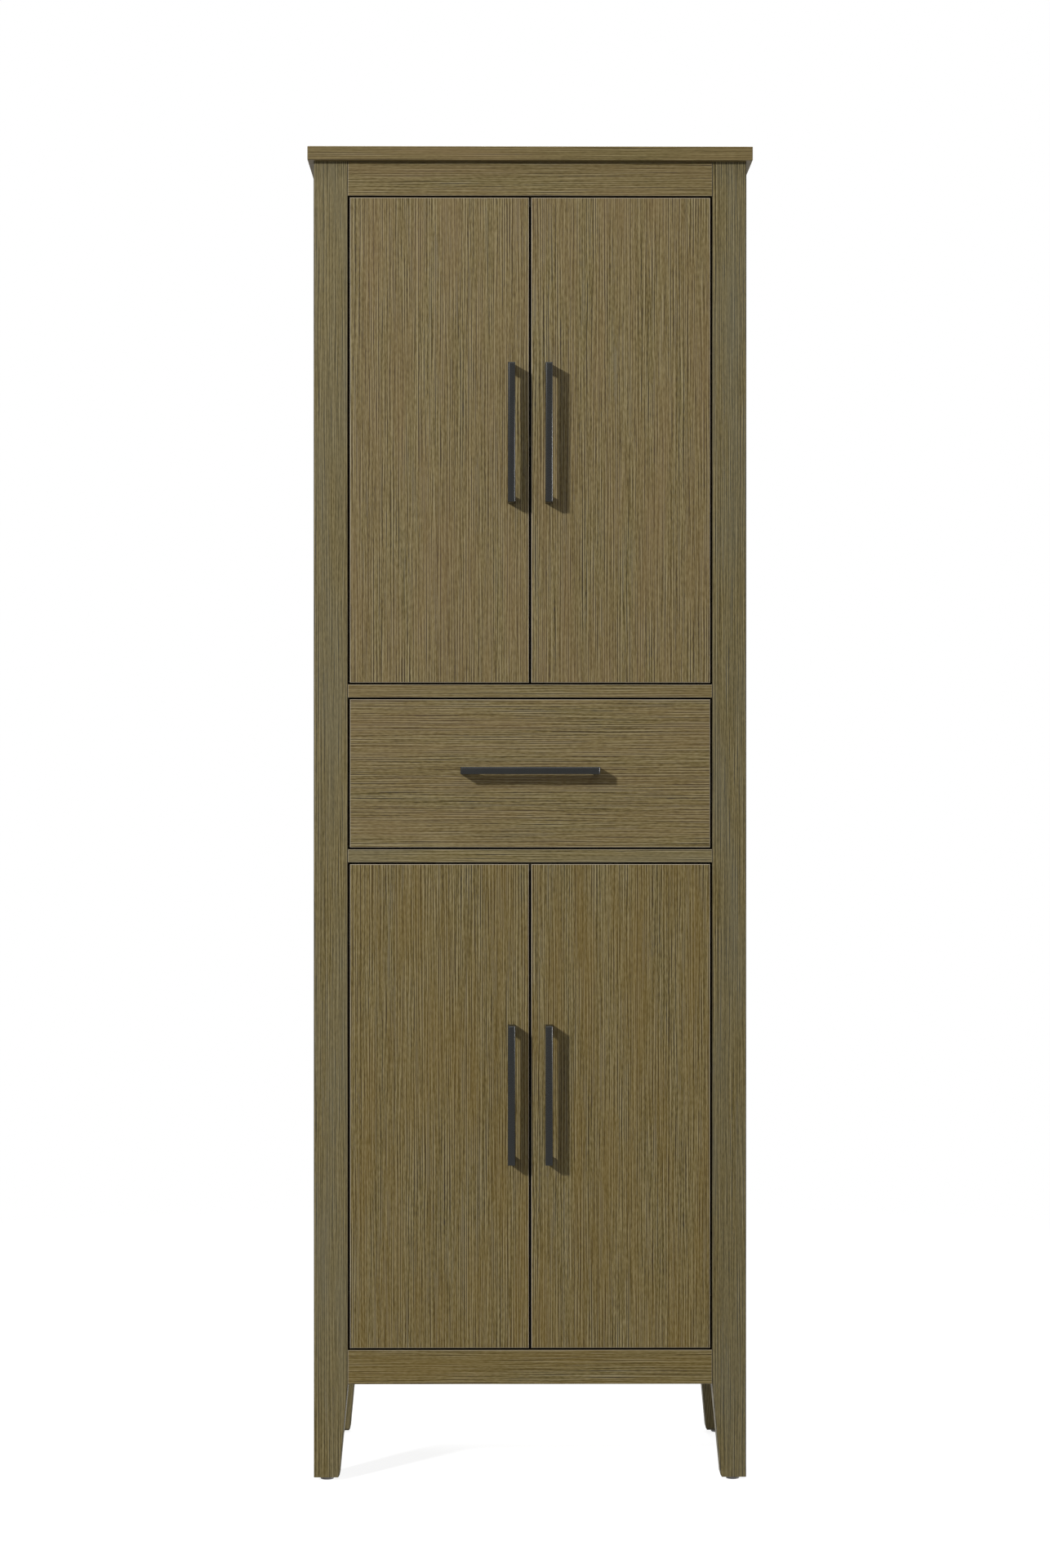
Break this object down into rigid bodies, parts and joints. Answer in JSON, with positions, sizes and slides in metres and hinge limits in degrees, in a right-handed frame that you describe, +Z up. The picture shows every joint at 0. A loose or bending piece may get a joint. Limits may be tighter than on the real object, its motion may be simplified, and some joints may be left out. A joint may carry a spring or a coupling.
{
  "type": "bathroom linen cabinet",
  "caption": "Tall wood-look linen cabinet on tapered legs, with inset cupboard doors above and below a drawer and black bar pulls.",
  "frame": {"origin": "on the floor, under the middle of the box that holds the cabinet and its pulls", "axes": "+X to the cabinet's right as seen from the front, +Y to its back, +Z up"},
  "size_m": [0.6096, 0.403, 1.8288],
  "materials": {
    "veneer": "satin veneer",
    "interior_board": "melamine",
    "drawer_wood": "lacquered birch",
    "dowel_beech": "raw beech",
    "black_metal": "matt",
    "steel": "nickel plated",
    "dark_steel": "black zinc plated",
    "glide_plastic": "moulded",
    "bumper_rubber": "soft"
  },
  "bodies": {
    "cabinet": {"top_board": "veneer", "front_leg_left": "veneer", "front_leg_right": "veneer", "rear_leg_left": "veneer", "rear_leg_right": "veneer", "side_panel_left": "veneer", "side_panel_right": "veneer", "top_rail": "veneer", "upper_mid_rail": "veneer", "lower_mid_rail": "veneer", "bottom_rail": "veneer", "rear_top_rail": "interior_board", "rear_bottom_rail": "interior_board", "upper_divider": "interior_board", "lower_divider": "interior_board", "bottom_panel": "interior_board", "back_panel": "interior_board", "slide_battens": "interior_board", "frame_dowels": "dowel_beech", "back_panel_screws": "steel", "upper_shelf": "interior_board", "lower_shelf": "interior_board", "shelf_pins": "steel", "foot_glides": "glide_plastic", "door_stops": "interior_board", "door_bumpers": "bumper_rubber", "hinge_arms": "dark_steel", "hinge_plates": "dark_steel", "hinge_plate_screws": "steel", "slide_outer_members": "dark_steel"},
    "upper_left_door": {"upper_left_door": "veneer", "upper_left_pull": "black_metal", "upper_left_pull_screws": "steel", "upper_left_hinge_cups": "steel", "upper_left_hinge_pins": "steel"},
    "upper_right_door": {"upper_right_door": "veneer", "upper_right_pull": "black_metal", "upper_right_pull_screws": "steel", "upper_right_hinge_cups": "steel", "upper_right_hinge_pins": "steel"},
    "lower_left_door": {"lower_left_door": "veneer", "lower_left_pull": "black_metal", "lower_left_pull_screws": "steel", "lower_left_hinge_cups": "steel", "lower_left_hinge_pins": "steel"},
    "lower_right_door": {"lower_right_door": "veneer", "lower_right_pull": "black_metal", "lower_right_pull_screws": "steel", "lower_right_hinge_cups": "steel", "lower_right_hinge_pins": "steel"},
    "drawer": {"drawer_front": "veneer", "drawer_box_front": "drawer_wood", "drawer_box_back": "drawer_wood", "drawer_side_left": "drawer_wood", "drawer_side_right": "drawer_wood", "drawer_bottom": "drawer_wood", "drawer_pull": "black_metal", "drawer_pull_screws": "steel", "slide_inner_members": "dark_steel"},
    "slide_middle": {"slide_middle_members": "dark_steel"}
  },
  "joints": [
    {"name": "upper_left_door_swing", "type": "hinge", "parent": "cabinet", "child": "upper_left_door", "pos_m": [-0.22917, -0.16, 1.4277], "axis": [0, 0, -1], "range_deg": [0, 95]},
    {"name": "upper_right_door_swing", "type": "hinge", "parent": "cabinet", "child": "upper_right_door", "pos_m": [0.22917, -0.16, 1.4277], "axis": [0, 0, 1], "range_deg": [0, 95]},
    {"name": "lower_left_door_swing", "type": "hinge", "parent": "cabinet", "child": "lower_left_door", "pos_m": [-0.22917, -0.16, 0.5143], "axis": [0, 0, -1], "range_deg": [0, 95]},
    {"name": "lower_right_door_swing", "type": "hinge", "parent": "cabinet", "child": "lower_right_door", "pos_m": [0.22917, -0.16, 0.5143], "axis": [0, 0, 1], "range_deg": [0, 95]},
    {"name": "drawer_slide", "type": "slide", "parent": "cabinet", "child": "drawer", "axis": [0, -1, 0], "range_m": [0, 0.3]},
    {"name": "slide_middle_travel", "type": "slide", "parent": "cabinet", "child": "slide_middle", "axis": [0, -1, 0], "range_m": [0, 0.15]}
  ],
  "couplings": [
    {"joint": "slide_middle_travel", "follows": "drawer_slide", "ratio": 0.5}
  ]
}
